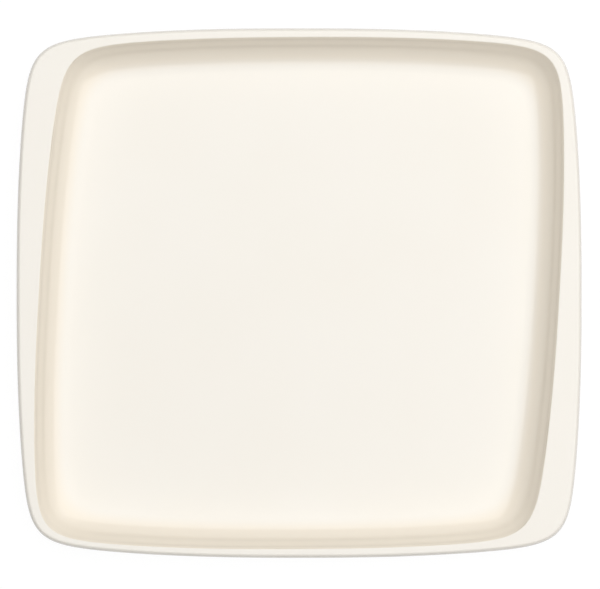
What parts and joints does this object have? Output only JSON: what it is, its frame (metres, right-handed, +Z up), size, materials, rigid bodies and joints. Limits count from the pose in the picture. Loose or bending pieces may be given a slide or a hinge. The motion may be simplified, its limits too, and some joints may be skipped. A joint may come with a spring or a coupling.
{
  "type": "plate",
  "caption": "Square glazed porcelain plate with bowed sides, soft corners and a shallow coved well that leans inside a flat rim, on a bare foot ring.",
  "frame": {"origin": "under the middle of the plate, in the plane that the foot ring stands on", "axes": "+Z up, out of the well; X along the longer way across the plate; Y along the shorter; the back of the well, at +Y, leans towards +X"},
  "size_m": [0.27, 0.253, 0.021],
  "materials": {
    "bare_porcelain": "fired clay, matt and slightly gritty, bare only on the standing edge of the foot ring",
    "cream_glaze": "smooth glossy cream glaze"
  },
  "bodies": {
    "root": {"porcelain_body": "bare_porcelain", "glaze_coat": "cream_glaze", "recess_glaze": "cream_glaze"}
  },
  "joints": []
}
